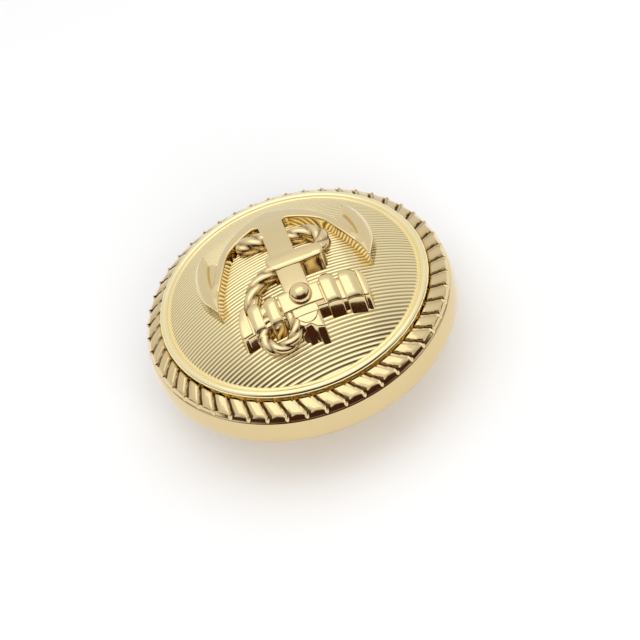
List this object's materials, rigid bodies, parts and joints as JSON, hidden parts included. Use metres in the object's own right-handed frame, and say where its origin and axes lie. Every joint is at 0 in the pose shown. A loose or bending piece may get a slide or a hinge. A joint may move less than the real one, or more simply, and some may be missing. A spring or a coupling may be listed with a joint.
{
  "type": "shank button",
  "caption": "Domed metal shank button with a rope-edged rim, a lined field, a fouled anchor in relief, a closed back and a swivelling wire eye.",
  "frame": {"origin": "the lowest point of the wire eye, on the button's axis", "axes": "+Z out of the domed face along the button's axis; +Y towards the anchor's ring, with the anchor upright; +X along the eye's opening at rest"},
  "size_m": [0.025, 0.025, 0.0131],
  "materials": {
    "polished_gold": "polished gold plating, slightly worn on the rope's high points",
    "lined_gold": "gold plating with fine raised lines",
    "emblem_gold": "polished gold plating, bright on the high relief",
    "back_gold": "plain polished gold plating with fine turning marks",
    "shank_gold": "drawn and gold-plated wire, satin where thread has rubbed it",
    "inner_brass": "unplated mill-finish brass, hidden inside",
    "packing_card": "pressed grey-brown card, hidden inside"
  },
  "bodies": {
    "button": {"rope_bezel": "polished_gold", "face_disc": "lined_gold", "anchor_body": "emblem_gold", "anchor_stock": "emblem_gold", "anchor_ring": "emblem_gold", "anchor_cable": "emblem_gold", "emblem_rivets": "inner_brass", "packing_pad": "packing_card", "spacer_ring": "inner_brass", "back_plate": "back_gold", "shank_cap": "inner_brass"},
    "shank": {"shank_foot": "shank_gold", "shank_loop": "shank_gold"}
  },
  "joints": [
    {"name": "shank_swivel", "type": "hinge", "parent": "button", "child": "shank", "pos_m": [0, 0, 0.0048], "axis": [0, 0, 1], "continuous": true}
  ]
}
